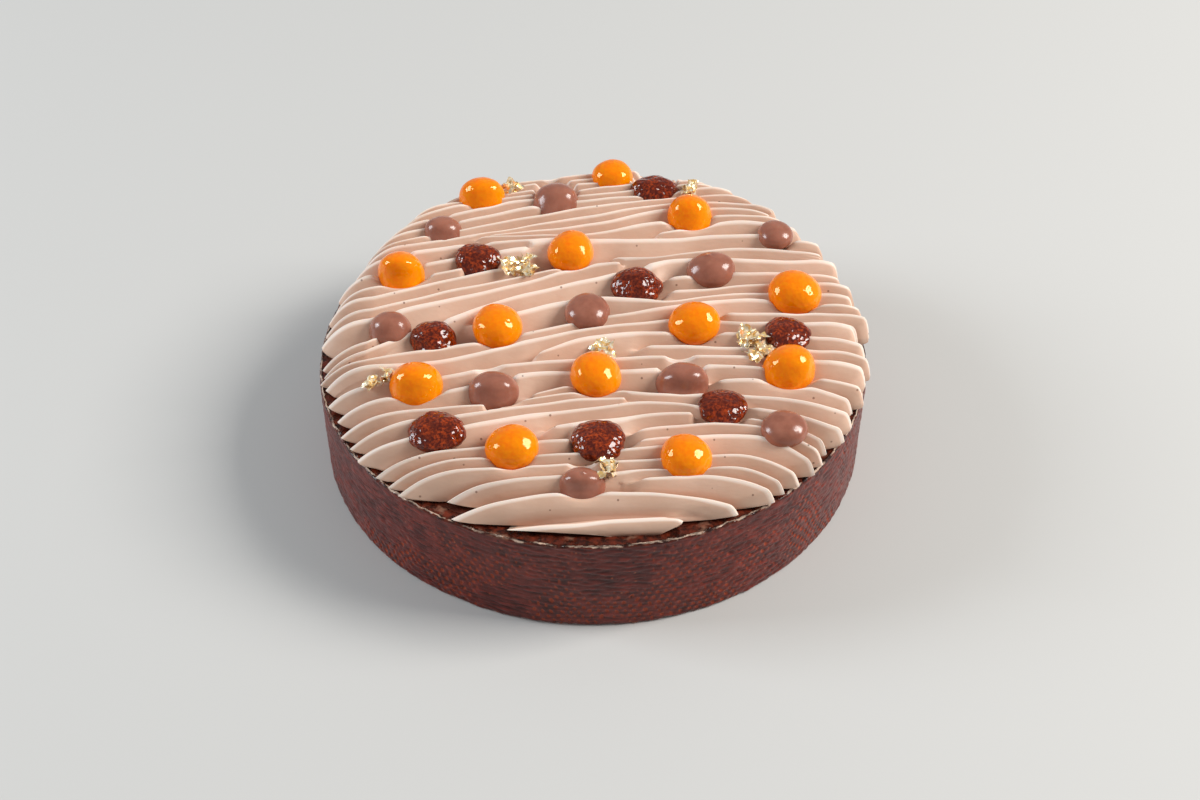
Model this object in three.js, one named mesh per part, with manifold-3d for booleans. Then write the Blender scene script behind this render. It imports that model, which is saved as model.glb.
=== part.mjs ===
// A passion fruit tart: a straight dark chocolate crust filled to the brim, covered with
// ridged piped cream, and set with drops of fruit gel, milk chocolate and praline.
// Millimetres, +Z up. The origin is the middle of the crust's underside. The ridges run
// along X, and -Y is the front of the tart.

import * as THREE from 'three';
import { mergeVertices } from 'three/addons/utils/BufferGeometryUtils.js';
import Module from 'manifold-3d';

const wasm = await Module();
wasm.setup();

// Crust and filling
const TART_RADIUS = 92.5;
const CRUST_HEIGHT = 36;
const CRUST_WALL = 4;
const CRUST_FLOOR = 4;
const FOOT_ROUND = 1.2;
const RIM_ROUND = 0.8;
const FILLING_GAP = 0.3;
const ROUND_STEPS = 68;

// Piped cream
const RIDGES = 28;
const FRONT_CREST = -85;
const BACK_CREST = 85.5;
const CREST_HEIGHT = 12.5;
const BACK_RISE = 1.2;
const FRONT_EDGE = -92;
const FRONT_RISE = 10;
const VALLEY_SHARE = 0.58;
const VALLEY_PLACE = 0.34;
const TIP_REACH = 91.6;
const VALLEY_REACH = 87.5;
const TIP_TAPER = 18;
const TAPER_POWER = 0.6;
const FOOT_AHEAD = 2.6;
const FOOT_BEHIND = 3.6;
const PITCH_JITTER = 1.2;
const HEIGHT_JITTER = 0.5;
const REACH_JITTER = 0.8;
const LEFT_LEAN = 0.25;
const FRONT_LEAN = 0.16;
const LEAN_SOFTNESS = 22;
const RIGHT_DROOP = 0.12;
const DROOP_START = 52;
const DROOP_SOFTNESS = 7;
const WAVERS = [
  { amount: 0.9, along: 0.055, across: 0.2, shift: 0 },
  { amount: 0.7, along: 0.09, across: -0.17, shift: 1 },
];
const RIDGE_STEPS = 20;
const RIDGE_SEED = 11;
const HALVINGS = 40;

// Drops: [x, y, width] of each, as they lie on the cream
const GEL_DROPS = [
  [-41, 71, 17], [7, 84, 15], [35, 60, 17], [-67, 26, 17.4], [-8, 38, 17.3], [69, 15, 18.2],
  [-32, -3, 17.7], [34, -1, 17.1], [-57, -32, 17.7], [1, -27, 17.5], [64, -24, 17.9],
  [-25, -60, 16.4], [29, -64, 16.3],
];
const CHOCOLATE_DROPS = [
  [-14, 68, 17.5], [-54, 50, 14], [65, 48, 13.2], [41, 28, 16.4], [-68, -4, 14.7], [-2, 5, 15.9],
  [-32, -35, 16.6], [29, -31, 17.1], [60, -52, 14.7], [-3, -75, 14],
];
const PRALINE_DROPS = [
  [23, 74, 18.4], [-41, 33, 17.5], [15, 19, 18.4], [-53, -9, 16.6], [65, -7, 16.4], [-49, -54, 18],
  [2, -57, 16.8], [41, -42, 15.9],
];
const GEL_FLATNESS = 0.74;
const CHOCOLATE_FLATNESS = 0.66;
const PRALINE_FLATNESS = 0.6;
const PRALINE_LUMPS = 0.06;
const DROP_LIFT = -0.8;
const DROP_SIDES = 12;
const DROP_HALF_RINGS = 3;
const HOLLOW_GAP = 0.35;
const HOLLOW_TOP = 14;

// Gold leaf: [x, y, spread, flakes] of each cluster
const GOLD_LEAF = [
  [-31, 76, 1, 1], [35, 75, 1.5, 2], [-25, 31, 3.5, 4], [4, -14.5, 2.5, 3],
  [54, -13, 3, 4], [-69, -31, 2.5, 3], [4, -69, 1.6, 2],
];
const FLAKE_SIZE = 3;
const FLAKE_THICKNESS = 0.55;
const FLAKE_WIDTH = 0.7;
const FLAKE_RAISE = 0.3;
const FLAKE_CRUMPLE = 0.25;
const FLAKE_TILT = 0.5;
const FLAKE_SEED = 5;

const CRUST_MATERIAL = new THREE.MeshStandardMaterial({ color: 0x55332d, roughness: 0.6, metalness: 0 });
const FILLING_MATERIAL = new THREE.MeshStandardMaterial({ color: 0x4a2a20, roughness: 0.45, metalness: 0 });
const CREAM_MATERIAL = new THREE.MeshStandardMaterial({ color: 0xcfab98, roughness: 0.65, metalness: 0 });
const GEL_MATERIAL = new THREE.MeshStandardMaterial({ color: 0xfc8f00, roughness: 0.12, metalness: 0 });
const CHOCOLATE_MATERIAL = new THREE.MeshStandardMaterial({ color: 0x8a5c4f, roughness: 0.3, metalness: 0 });
const PRALINE_MATERIAL = new THREE.MeshStandardMaterial({ color: 0x5c2410, roughness: 0.2, metalness: 0 });

// Repeatable random numbers from 0 to 1
function seededRandom(seed) {
  let state = seed;
  return () => {
    state = (state * 1664525 + 1013904223) % 4294967296;
    return state / 4294967296;
  };
}

const spread = (random, amount) => (2 * random() - 1) * amount;
const softRamp = (x, softness) => softness * Math.log(1 + Math.exp(x / softness));
const mix = THREE.MathUtils.lerp;

// Keeps only positions, with shared corners merged and collapsed triangles dropped
function weld(geometry) {
  geometry.deleteAttribute('normal');
  geometry.deleteAttribute('uv');
  const welded = mergeVertices(geometry, 1e-3);
  const corners = welded.index.array;
  const kept = [];
  for (let i = 0; i < corners.length; i += 3) {
    const [a, b, c] = corners.slice(i, i + 3);
    if (a !== b && b !== c && c !== a) {
      kept.push(a, b, c);
    }
  }
  welded.setIndex(kept);
  return welded;
}

function toSolid(geometry) {
  const welded = weld(geometry);
  const vertProperties = new Float32Array(welded.attributes.position.array);
  const triVerts = new Uint32Array(welded.index.array);
  return new wasm.Manifold(new wasm.Mesh({ numProp: 3, vertProperties, triVerts }));
}

function toGeometry(solid) {
  const { vertProperties, triVerts } = solid.getMesh();
  const geometry = new THREE.BufferGeometry();
  geometry.setAttribute('position', new THREE.BufferAttribute(vertProperties, 3));
  geometry.setIndex(new THREE.BufferAttribute(triVerts, 1));
  geometry.computeVertexNormals();
  return geometry;
}

// A turned solid about Z from a profile of [radius, height] pairs that starts and ends on the axis
function turned(profile, steps) {
  const points = profile.map(([radius, height]) => new THREE.Vector2(radius, height));
  return weld(new THREE.LatheGeometry(points, steps).rotateX(Math.PI / 2));
}

function crustGeometry() {
  const inner = TART_RADIUS - CRUST_WALL;
  return turned([
    [0, 0],
    [TART_RADIUS - FOOT_ROUND, 0],
    [TART_RADIUS, FOOT_ROUND],
    [TART_RADIUS, CRUST_HEIGHT - RIM_ROUND],
    [TART_RADIUS - RIM_ROUND, CRUST_HEIGHT],
    [inner, CRUST_HEIGHT],
    [inner, CRUST_FLOOR],
    [0, CRUST_FLOOR],
  ], ROUND_STEPS);
}

function fillingGeometry() {
  const radius = TART_RADIUS - CRUST_WALL - FILLING_GAP;
  return turned([
    [0, CRUST_FLOOR],
    [radius, CRUST_FLOOR],
    [radius, CRUST_HEIGHT],
    [0, CRUST_HEIGHT],
  ], ROUND_STEPS);
}

// Height of the ridges' crests over the rim, where a ridge crosses the middle line at y:
// nearly even, with the first ridges rising from the front edge
function crestHeight(y) {
  const even = CREST_HEIGHT + BACK_RISE * y / TART_RADIUS;
  return even * (1 - Math.exp((FRONT_EDGE - y) / FRONT_RISE));
}

// Where the ridge that crosses the middle line at y lies at x: it leans forward to the left,
// droops at the right end, and wavers with its neighbours
function ridgeLine(y, x) {
  const backness = THREE.MathUtils.smoothstep(y, FRONT_CREST, 0);
  const lean = mix(FRONT_LEAN, LEFT_LEAN, backness) * softRamp(-x, LEAN_SOFTNESS);
  const droop = RIGHT_DROOP * softRamp(x - DROOP_START, DROOP_SOFTNESS);
  let place = y - lean - droop;
  for (const { amount, along, across, shift } of WAVERS) {
    place += amount * Math.sin(along * x + across * y + shift);
  }
  return place;
}

// Where a line of points leaves the circle of a given reach, to one side
function lineEnd(line, reach, side) {
  let inside = 0;
  let outside = 1.1 * TART_RADIUS;
  for (let i = 0; i < HALVINGS; i++) {
    const x = (inside + outside) / 2;
    if (Math.hypot(x, line(side * x)) < reach) {
      inside = x;
    } else {
      outside = x;
    }
  }
  return side * inside;
}

// One row of points across the cream, rising from the rim at both tips to its full height
function ridgeRow(line, height, reach) {
  const left = lineEnd(line, reach, -1);
  const right = lineEnd(line, reach, 1);
  const taper = Math.min(TIP_TAPER, (right - left) / 2);
  const row = [];
  for (let i = 0; i <= RIDGE_STEPS; i++) {
    const share = (1 - Math.cos(Math.PI * i / RIDGE_STEPS)) / 2;
    const x = mix(left, right, share);
    const fromTip = Math.min((x - left) / taper, (right - x) / taper, 1);
    const rise = Math.pow(Math.max(0, 1 - (1 - fromTip) ** 2), TAPER_POWER);
    row.push(new THREE.Vector3(x, line(x), CRUST_HEIGHT + height * rise));
  }
  return row;
}

// Rows from front to back: a foot, then crests with a valley close behind each, then a foot
function creamRows() {
  const random = seededRandom(RIDGE_SEED);
  const pitch = (BACK_CREST - FRONT_CREST) / (RIDGES - 1);
  const ridges = [];
  for (let i = 0; i < RIDGES; i++) {
    const inner = i > 1 && i < RIDGES - 1;
    const y = FRONT_CREST + i * pitch + (inner ? spread(random, PITCH_JITTER) : 0);
    const height = crestHeight(y) + spread(random, HEIGHT_JITTER);
    ridges.push({ y, height, reach: TIP_REACH + spread(random, REACH_JITTER) });
  }
  const first = ridges[0];
  const last = ridges[RIDGES - 1];
  const rows = [ridgeRow((x) => ridgeLine(first.y, x) - FOOT_AHEAD, 0, TIP_REACH)];
  ridges.forEach((ridge, i) => {
    rows.push(ridgeRow((x) => ridgeLine(ridge.y, x), ridge.height, ridge.reach));
    if (ridge !== last) {
      const next = ridges[i + 1];
      const line = (x) => mix(ridgeLine(ridge.y, x), ridgeLine(next.y, x), VALLEY_PLACE);
      rows.push(ridgeRow(line, VALLEY_SHARE * (ridge.height + next.height) / 2, VALLEY_REACH));
    }
  });
  rows.push(ridgeRow((x) => ridgeLine(last.y, x) + FOOT_BEHIND, 0, TIP_REACH));
  return rows;
}

// The rows joined into one closed solid with a flat underside on the rim and the filling
function ridgedCream(rows) {
  const width = RIDGE_STEPS + 1;
  const corner = (row, column) => row * width + column;
  const triangles = [];
  for (let row = 0; row + 1 < rows.length; row++) {
    for (let column = 0; column < RIDGE_STEPS; column++) {
      const a = corner(row, column);
      const b = corner(row, column + 1);
      const c = corner(row + 1, column + 1);
      const d = corner(row + 1, column);
      const front = row < rows.length / 2;
      const left = column < RIDGE_STEPS / 2;
      if (front === left) {
        triangles.push(a, b, c, a, c, d);
      } else {
        triangles.push(a, b, d, b, c, d);
      }
    }
  }
  const lastRow = rows.length - 1;
  const outline = [];
  for (let column = 0; column <= RIDGE_STEPS; column++) {
    outline.push(corner(0, column));
  }
  for (let row = 1; row <= lastRow; row++) {
    outline.push(corner(row, RIDGE_STEPS));
  }
  for (let column = RIDGE_STEPS - 1; column >= 0; column--) {
    outline.push(corner(lastRow, column));
  }
  for (let row = lastRow - 1; row > 0; row--) {
    outline.push(corner(row, 0));
  }
  const points = rows.flat();
  const plan = outline.map((index) => new THREE.Vector2(points[index].x, points[index].y));
  for (const [a, b, c] of THREE.ShapeUtils.triangulateShape(plan, [])) {
    triangles.push(outline[a], outline[c], outline[b]);
  }
  const geometry = new THREE.BufferGeometry().setFromPoints(points);
  geometry.setIndex(triangles);
  return toSolid(geometry);
}

// The lower half of a drop's outline, from its lowest point to its widest
function lowerHalf(radius, depth) {
  const profile = [];
  for (let i = 0; i <= DROP_HALF_RINGS; i++) {
    const angle = Math.PI / 2 * (i / DROP_HALF_RINGS - 1);
    profile.push([radius * Math.cos(angle), depth * Math.sin(angle)]);
  }
  profile[0][0] = 0;
  return profile;
}

function dropGeometry(width, flatness) {
  const radius = width / 2;
  const lower = lowerHalf(radius, radius * flatness);
  const upper = lower.slice(0, -1).reverse().map(([r, z]) => [r, -z]);
  return turned([...lower, ...upper], DROP_SIDES);
}

// A spoonful of chopped nuts in caramel: a drop with its surface pushed in and out
function pralineGeometry(width, flatness, seed) {
  const geometry = dropGeometry(width, flatness);
  const random = seededRandom(seed);
  const position = geometry.attributes.position;
  for (let i = 0; i < position.count; i++) {
    const lump = 1 - PRALINE_LUMPS + spread(random, PRALINE_LUMPS);
    position.setXYZ(i, position.getX(i) * lump, position.getY(i) * lump, position.getZ(i) * lump);
  }
  return geometry;
}

// The hollow that a drop sits in: its lower half a little larger, open upwards
function hollow(x, y, width, flatness) {
  const radius = width / 2 + HOLLOW_GAP;
  const depth = width / 2 * flatness + HOLLOW_GAP;
  const profile = lowerHalf(radius, depth);
  profile.push([radius, HOLLOW_TOP], [0, HOLLOW_TOP]);
  return toSolid(turned(profile, DROP_SIDES).translate(x, y, dropLevel(y)));
}

// Height of a drop's middle: a little under the crests round it
function dropLevel(y) {
  return CRUST_HEIGHT + crestHeight(y) + DROP_LIFT;
}

// Height of the ridged surface at a place, between the two rows that pass on either side of it
function creamLevel(rows, x, y) {
  const crossings = [];
  for (const row of rows) {
    const step = row.findIndex((point, i) => i > 0 && row[i - 1].x <= x && x <= point.x);
    if (step > 0) {
      const share = (x - row[step - 1].x) / (row[step].x - row[step - 1].x);
      crossings.push(new THREE.Vector3().lerpVectors(row[step - 1], row[step], share));
    }
  }
  const behind = crossings.findIndex((point) => point.y > y);
  const [near, far] = crossings.slice(behind - 1, behind + 1);
  return mix(near.z, far.z, (y - near.y) / (far.y - near.y));
}

function crumpledFlake(random, x, y, level) {
  const geometry = weld(new THREE.IcosahedronGeometry(1, 0));
  const position = geometry.attributes.position;
  for (let i = 0; i < position.count; i++) {
    const crumple = 1 + spread(random, FLAKE_CRUMPLE);
    position.setXYZ(i, position.getX(i) * crumple, position.getY(i) * crumple, position.getZ(i) * crumple);
  }
  geometry.scale(FLAKE_SIZE, FLAKE_WIDTH * FLAKE_SIZE, FLAKE_THICKNESS * FLAKE_SIZE);
  geometry.rotateX(spread(random, FLAKE_TILT));
  geometry.rotateZ(spread(random, Math.PI));
  geometry.translate(x, y, level + FLAKE_RAISE);
  return toSolid(geometry);
}

// A hollow can cut a scrap loose from the cream, and such scraps are dropped
function largestBody(solid) {
  const bodies = solid.decompose();
  bodies.sort((one, other) => other.volume() - one.volume());
  return bodies[0];
}

// The cream with its gold leaf pressed on and a hollow for each drop
function creamGeometry(drops) {
  const rows = creamRows();
  let cream = ridgedCream(rows);
  const random = seededRandom(FLAKE_SEED);
  for (const [x, y, clusterSpread, flakes] of GOLD_LEAF) {
    for (let i = 0; i < flakes; i++) {
      const flakeX = x + spread(random, clusterSpread);
      const flakeY = y + spread(random, clusterSpread);
      const level = creamLevel(rows, flakeX, flakeY);
      cream = cream.add(crumpledFlake(random, flakeX, flakeY, level));
    }
  }
  for (const { x, y, width, flatness } of drops) {
    cream = cream.subtract(hollow(x, y, width, flatness));
  }
  return toGeometry(largestBody(cream));
}

function kindOfDrop(name, places, flatness, material, shape) {
  return places.map(([x, y, width], i) => {
    const number = String(i + 1).padStart(2, '0');
    return { name: `${name}_${number}`, x, y, width, flatness, material, shape, seed: i + 1 };
  });
}

function addMesh(parent, name, geometry, material) {
  const mesh = new THREE.Mesh(geometry, material);
  mesh.name = name;
  parent.add(mesh);
  return mesh;
}

const drops = [
  ...kindOfDrop('fruit_gel', GEL_DROPS, GEL_FLATNESS, GEL_MATERIAL, dropGeometry),
  ...kindOfDrop('milk_chocolate', CHOCOLATE_DROPS, CHOCOLATE_FLATNESS, CHOCOLATE_MATERIAL, dropGeometry),
  ...kindOfDrop('praline', PRALINE_DROPS, PRALINE_FLATNESS, PRALINE_MATERIAL, pralineGeometry),
];

const tart = new THREE.Group();
addMesh(tart, 'crust', crustGeometry(), CRUST_MATERIAL);
addMesh(tart, 'filling', fillingGeometry(), FILLING_MATERIAL);
addMesh(tart, 'cream', creamGeometry(drops), CREAM_MATERIAL);

const toppings = new THREE.Group();
tart.add(toppings);
for (const { name, x, y, width, flatness, material, shape, seed } of drops) {
  const drop = addMesh(toppings, name, shape(width, flatness, seed), material);
  drop.position.set(x, y, dropLevel(y));
}

export default tart;
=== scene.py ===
# %% [markdown]
# # A passion fruit tart
# The tart is a straight chocolate crust, a thin layer of filling, a top of piped cream in close ridges, and
# three kinds of drops set into the cream, with torn gold leaf between them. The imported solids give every
# place and size, and this lesson makes each piece again with the detail that can be seen.

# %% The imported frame
import math
import random

import bpy
import numpy as np
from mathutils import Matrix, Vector, noise


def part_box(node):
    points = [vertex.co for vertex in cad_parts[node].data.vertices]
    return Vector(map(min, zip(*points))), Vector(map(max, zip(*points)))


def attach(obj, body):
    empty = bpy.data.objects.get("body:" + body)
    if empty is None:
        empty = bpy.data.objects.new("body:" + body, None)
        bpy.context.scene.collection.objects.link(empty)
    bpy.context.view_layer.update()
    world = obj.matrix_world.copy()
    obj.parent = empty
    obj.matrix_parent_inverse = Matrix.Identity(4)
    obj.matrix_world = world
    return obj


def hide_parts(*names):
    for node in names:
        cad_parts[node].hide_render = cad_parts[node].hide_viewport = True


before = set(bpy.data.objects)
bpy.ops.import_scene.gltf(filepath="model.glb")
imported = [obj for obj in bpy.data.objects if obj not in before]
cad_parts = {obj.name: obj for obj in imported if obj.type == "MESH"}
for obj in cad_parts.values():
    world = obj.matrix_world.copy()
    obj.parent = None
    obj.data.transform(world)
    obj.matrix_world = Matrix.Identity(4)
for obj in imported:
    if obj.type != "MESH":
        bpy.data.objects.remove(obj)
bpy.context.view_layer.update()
MM = 0.001
TART_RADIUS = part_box("crust")[1][0] / MM
RIM_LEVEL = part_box("crust")[1][2] / MM
print(f"tart radius {TART_RADIUS:.1f} mm, rim level {RIM_LEVEL:.1f} mm")

# %% [markdown]
# ## Camera
# The camera stands in front of the tart and looks down at 42 degrees. Its place and lens were solved from
# the ellipses of the rim and of the base, so the view is the same as in the photograph.

# %% Camera
CAMERA_PLACE = Vector((0.00234, -0.43411, 0.40312))
CAMERA_TARGET = Vector((0.00234, 0.0136, 0.0))

bpy.ops.object.select_all(action="DESELECT")
bpy.ops.object.camera_add(location=CAMERA_PLACE)
camera = bpy.context.object
camera.name = "camera"
camera.rotation_euler = (CAMERA_TARGET - CAMERA_PLACE).to_track_quat("-Z", "Y").to_euler()
camera.data.lens = 50.01
camera.data.sensor_width = 36.0
camera.data.sensor_fit = "HORIZONTAL"
bpy.context.scene.camera = camera
bpy.context.scene.view_settings.view_transform = "Standard"
print("camera", [round(value, 3) for value in camera.location])

# %% [markdown]
# ## Finishes
# Every finish is a Principled shader that reads Object coordinates, so a pattern keeps its real size in
# metres. Short helpers add the nodes, because the same kinds come back in every finish. Several sockets of
# a Mix node share a name, so the ones for colours are chosen by number.

# %% Helpers for finishes
MIX_FIRST = 6
MIX_SECOND = 7
MIX_RESULT = 2


def tone(red, green, blue):
    """Turn a screen colour, 0 to 255, into the linear colour that a shader works with."""
    parts = [value / 255 for value in (red, green, blue)]
    return tuple(v / 12.92 if v <= 0.04045 else ((v + 0.055) / 1.055) ** 2.4 for v in parts) + (1.0,)


class Finish:
    """A material with its Principled shader, and short ways to add what feeds it."""

    def __init__(self, name):
        self.material = bpy.data.materials.new(name)
        self.material.use_nodes = True
        self.tree = self.material.node_tree
        self.shader = self.tree.nodes["Principled BSDF"]
        self.place = self.tree.nodes.new("ShaderNodeTexCoord").outputs["Object"]

    def feed(self, target, value):
        if isinstance(value, bpy.types.NodeSocket):
            self.tree.links.new(value, target)
        else:
            target.default_value = value

    def fill(self, node, values):
        """Feed a node's inputs by name, where an underscore stands for a space."""
        for name, value in values.items():
            self.feed(node.inputs[name.replace("_", " ")], value)

    def set(self, **values):
        self.fill(self.shader, values)

    def add(self, kind, **values):
        node = self.tree.nodes.new("ShaderNode" + kind)
        self.fill(node, values)
        return node

    def noise(self, size, detail=4.0, roughness=0.55, stretch=None):
        place = self.place
        if stretch is not None:
            place = self.add("Mapping", Vector=place, Scale=stretch).outputs["Vector"]
        node = self.add("TexNoise", Vector=place, Scale=1.0 / (size * MM), Detail=detail, Roughness=roughness)
        return node.outputs["Fac"]

    def cells(self, size):
        return self.add("TexVoronoi", Vector=self.place, Scale=1.0 / (size * MM)).outputs["Distance"]

    def attribute(self, name):
        """A value that is stored on the mesh's points."""
        node = self.add("Attribute")
        node.attribute_name = name
        return node.outputs["Fac"]

    def axis(self, name):
        """One of the three Object coordinates, in metres."""
        return self.add("SeparateXYZ", Vector=self.place).outputs[name]

    def facing(self, name):
        """How far the surface faces along one of the object's axes."""
        return self.add("SeparateXYZ", Vector=self.place.node.outputs["Normal"]).outputs[name]

    def math(self, kind, first, second=0.0):
        node = self.add("Math")
        node.operation = kind
        self.feed(node.inputs[0], first)
        self.feed(node.inputs[1], second)
        return node.outputs["Value"]

    def range(self, value, low, high, start=0.0, end=1.0):
        node = self.add("MapRange", Value=value, From_Min=low, From_Max=high, To_Min=start, To_Max=end)
        node.clamp = True
        return node.outputs["Result"]

    def mix(self, share, first, second):
        node = self.add("Mix")
        node.data_type = "RGBA"
        self.feed(node.inputs["Factor"], share)
        self.feed(node.inputs[MIX_FIRST], first)
        self.feed(node.inputs[MIX_SECOND], second)
        return node.outputs[MIX_RESULT]

    def blend(self, value, limits, first, second, most=1.0):
        """Go from the first colour to the second as a value passes its limits, at most by the given share."""
        return self.mix(self.range(value, *limits, 0.0, most), first, second)

    def bump(self, height, depth):
        return self.add("Bump", Strength=1.0, Distance=depth * MM, Height=height).outputs["Normal"]


print("helpers for finishes are ready")

# %% [markdown]
# ## Helpers for meshes
# Operators act on all that is selected, so each piece starts with nothing selected. Points are read and
# written as one array, which lets a whole surface follow a rule at once.


# %% Helpers for meshes
def start_clean():
    bpy.ops.object.select_all(action="DESELECT")


def points_of(piece):
    points = np.empty(len(piece.data.vertices) * 3)
    piece.data.vertices.foreach_get("co", points)
    return points.reshape(-1, 3)


def set_points(piece, points):
    piece.data.vertices.foreach_set("co", np.ascontiguousarray(points, dtype=float).ravel())
    piece.data.update()


def choose(piece, kind, flags):
    """Select only the vertices, edges or polygons whose flag is set, and enter edit mode."""
    mesh = piece.data
    kinds = ("vertices", "edges", "polygons")
    bpy.context.tool_settings.mesh_select_mode = [kind == name for name in kinds]
    for name in kinds:
        group = getattr(mesh, name)
        group.foreach_set("select", np.zeros(len(group), dtype=bool))
    getattr(mesh, kind).foreach_set("select", np.asarray(flags, dtype=bool))
    bpy.ops.object.mode_set(mode="EDIT")


def disc(columns, radius, depth, level):
    """A cylinder round the tart's axis with its middle at a level, in mm."""
    start_clean()
    bpy.ops.mesh.primitive_cylinder_add(vertices=columns, radius=radius * MM, depth=depth * MM,
                                        location=(0, 0, level * MM))
    bpy.ops.object.transform_apply(location=True)
    return bpy.context.object


def inset_top(piece, rings, step):
    """Cut rings into the face that looks up, and stay in edit mode with the innermost face selected."""
    choose(piece, "polygons", [face.normal.z > 0.9 for face in piece.data.polygons])
    for ring in range(rings):
        bpy.ops.mesh.inset(thickness=step * MM)


def store(piece, name, values):
    """Keep a value for each point of a piece, for its finish to read."""
    mark = piece.data.attributes.new(name, "FLOAT", "POINT")
    mark.data.foreach_set("value", np.ascontiguousarray(values))


def rough(points, size, seed):
    """A soft random value from -1 to 1 at each point, with lumps of about the given size."""
    start = Vector((seed, seed * 0.7, -seed))
    return np.array([noise.noise(Vector(point) / size + start) for point in points])


def finish_piece(piece, name, finish, slot, *nodes):
    piece.name = name
    piece.data.name = name
    piece.data.materials.clear()
    piece.data.materials.append(finish.material)
    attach(piece, "root")
    if nodes:
        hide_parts(*nodes)


def triangles(piece):
    return sum(len(face.vertices) - 2 for face in piece.data.polygons)


print("helpers for meshes are ready")

# %% [markdown]
# ## Floor and light
# The tart stands on a plain pale floor. A large soft light on the right is the stronger one, and a cooler,
# weaker one on the left fills in, so the drops show one bright and one bluish highlight and the shadow
# falls to the left. Area lights are used, because a small light would give hard shadows and tiny
# highlights.

# %% Floor
start_clean()
bpy.ops.mesh.primitive_plane_add(size=6.0)
floor = bpy.context.object
floor.name = "floor"
look = Finish("pale_floor")
look.set(Base_Color=tone(204, 204, 202), Roughness=0.6)
floor.data.materials.append(look.material)
print("floor added")

# %% Lights
LIT_POINT = Vector((0, 0, 0.03))


def soft_light(name, place, size, power, colour):
    start_clean()
    bpy.ops.object.light_add(type="AREA", location=place)
    light = bpy.context.object
    light.name = name
    light.data.size = size
    light.data.energy = power
    light.data.color = colour
    light.rotation_euler = (LIT_POINT - Vector(place)).to_track_quat("-Z", "Y").to_euler()


soft_light("key_light", (1.5, 0.06, 1.20), size=0.84, power=39.5, colour=(1.0, 0.97, 0.93))
soft_light("fill_light", (-1.65, 0.12, 0.84), size=0.74, power=21.0, colour=(0.88, 0.94, 1.0))
world = bpy.data.worlds.new("studio")
bpy.context.scene.world = world
world.use_nodes = True
sky = world.node_tree.nodes["Background"]
sky.inputs["Color"].default_value = (1.0, 1.0, 1.0, 1.0)
sky.inputs["Strength"].default_value = 0.31

# %% [markdown]
# ## Crust
# The crust was baked in a ring lined with a fine mesh, which left rows of small marks in the wall. It also
# has pores, a crumbly top edge and an uneven foot. A cylinder with many rings gives enough points to make
# all of that real relief. A bump in the material would be lighter, but the outline would stay smooth and
# the marks would be missing from the mesh. The rim is inset from the top face, and the middle is pushed
# down to hold the filling.

# %% Crust blank
WALL_COLUMNS = 960
WALL_RINGS = 88
RIM_STEPS = 8
RIM_STEP = 0.55
CUP_DEPTH = 4.0

crust = disc(WALL_COLUMNS, TART_RADIUS, RIM_LEVEL, RIM_LEVEL / 2)
ends = np.array([[crust.data.vertices[i].co.z for i in edge.vertices] for edge in crust.data.edges])
choose(crust, "edges", np.abs(ends[:, 0] - ends[:, 1]) > RIM_LEVEL * MM / 2)
bpy.ops.mesh.subdivide(number_cuts=WALL_RINGS - 1)
bpy.ops.object.mode_set(mode="OBJECT")
inset_top(crust, RIM_STEPS, RIM_STEP)
bpy.ops.mesh.extrude_region_move(TRANSFORM_OT_translate={"value": (0, 0, -CUP_DEPTH * MM)})
bpy.ops.object.mode_set(mode="OBJECT")
print("crust blank", triangles(crust), "triangles")

# %% [markdown]
# The relief of the wall is a push along the radius, in mm, which several rules add up. Streaks run round
# the wall. The marks of the mesh come in patches, mostly on the right and low on the wall, and the streaks
# are weaker there.

# %% Crust streaks and marks
NEAR = 0.1
STREAK_DEPTH = 0.36
STREAK_STRETCH = 0.2
MARK_PITCH = (2.9, 4.4)
MARK_DEPTH = 0.70
MARK_EDGE = 0.25

shape = points_of(crust) / MM
angle = np.arctan2(shape[:, 1], shape[:, 0])
radius = np.hypot(shape[:, 0], shape[:, 1])
height = shape[:, 2]
along = angle * TART_RADIUS
wall = radius > TART_RADIUS - NEAR
rim = (height > RIM_LEVEL - NEAR) & (radius < TART_RADIUS - NEAR)
drawn = np.stack([STREAK_STRETCH * along, height, 0 * height], axis=1)
streak = rough(drawn, 0.95, 3.0) + 0.5 * rough(drawn, 0.45, 9.0)
lower = np.clip(1.3 - height / RIM_LEVEL, 0.25, 1)
patch = np.clip(0.22 + 0.5 * np.cos(angle + 0.5) + 2.0 * rough(shape, 15, 3.0), 0, 1) * lower
across = np.cos(2 * np.pi * (along / MARK_PITCH[0] + 0.5 * rough(shape, 6, 5.0)))
upward = np.cos(2 * np.pi * (height / MARK_PITCH[1] + 0.4 * rough(shape, 8, 6.0)))
spots = np.clip((across * upward - MARK_EDGE) / (1 - MARK_EDGE), 0, 1) * patch
push = STREAK_DEPTH * (1 - 0.6 * patch) * streak - MARK_DEPTH * spots
push += 0.28 * rough(shape, 26, 8.0) + 0.09 * rough(shape, 5, 1.0) + 0.06 * rough(shape, 1.6, 2.0)
print(f"marks on {(spots[wall] > 0).sum()} of {wall.sum()} points of the wall")

# %% [markdown]
# Pores are small round pits where air was caught against the ring. They lie at random places, drawn from a
# seeded list, so that every run gives the same ones. Each pit is soft at its edge, because a boolean cut
# would need a far finer mesh.

# %% Crust pores
PORES = 110
PORE_SIZE = (0.45, 0.95)
PORE_DEPTH = 0.55
PORE_MARGIN = 1.0

seeds = random.Random(4)
for pore in range(PORES):
    where = seeds.uniform(-math.pi, math.pi) * TART_RADIUS
    level = seeds.uniform(PORE_MARGIN, RIM_LEVEL - PORE_MARGIN)
    size = seeds.uniform(*PORE_SIZE)
    apart = np.hypot(along - where, height - level) / size
    push -= PORE_DEPTH * size * np.exp(-apart ** 2)
print(PORES, "pores")

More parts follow.
